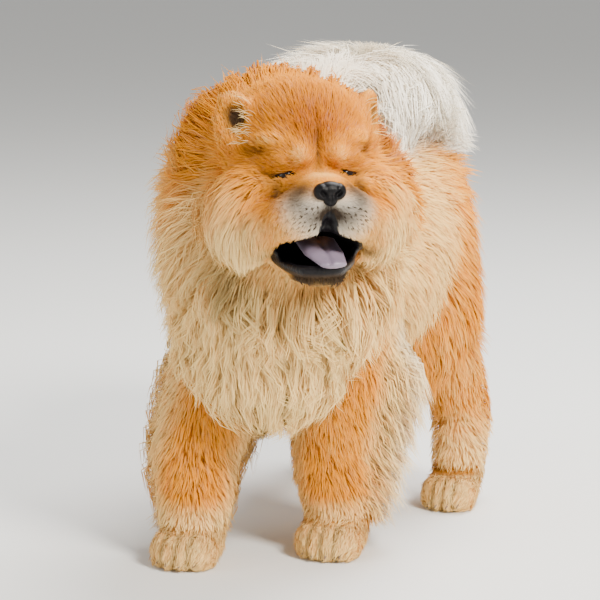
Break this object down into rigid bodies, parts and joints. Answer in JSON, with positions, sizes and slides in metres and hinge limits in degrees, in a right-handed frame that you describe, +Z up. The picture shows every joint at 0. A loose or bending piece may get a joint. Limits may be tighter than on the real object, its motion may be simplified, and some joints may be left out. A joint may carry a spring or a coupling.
{
  "type": "chow chow",
  "caption": "Still, life-size model of a standing chow chow with its head turned, mouth open, deep ruff and tail plume over its back",
  "frame": {"origin": "centre of the model's box, on the floor under the soles", "axes": "+X to the dog's left, +Y towards its tail, +Z up"},
  "size_m": [0.3686, 0.7446, 0.6121],
  "materials": {
    "golden_coat": "dense matt fur, red-gold",
    "cream_coat": "long matt fur, cream",
    "white_coat": "long matt fur, off-white",
    "black_leather": "moist black nose leather",
    "dark_eye": "glossy dark brown",
    "blue_tongue": "moist, lavender grey"
  },
  "bodies": {
    "root": {"torso": "golden_coat", "neck": "cream_coat", "head": "golden_coat", "lower_jaw": "cream_coat", "tongue": "blue_tongue", "nose": "black_leather", "eye_left": "dark_eye", "eye_right": "dark_eye", "ear_left": "golden_coat", "ear_right": "golden_coat", "tail": "white_coat", "foreleg_left": "golden_coat", "foreleg_right": "golden_coat", "front_paw_left": "white_coat", "front_paw_right": "white_coat", "thigh_left": "golden_coat", "thigh_right": "golden_coat", "shank_left": "cream_coat", "shank_right": "cream_coat", "hind_paw_left": "white_coat", "hind_paw_right": "white_coat"}
  },
  "joints": []
}
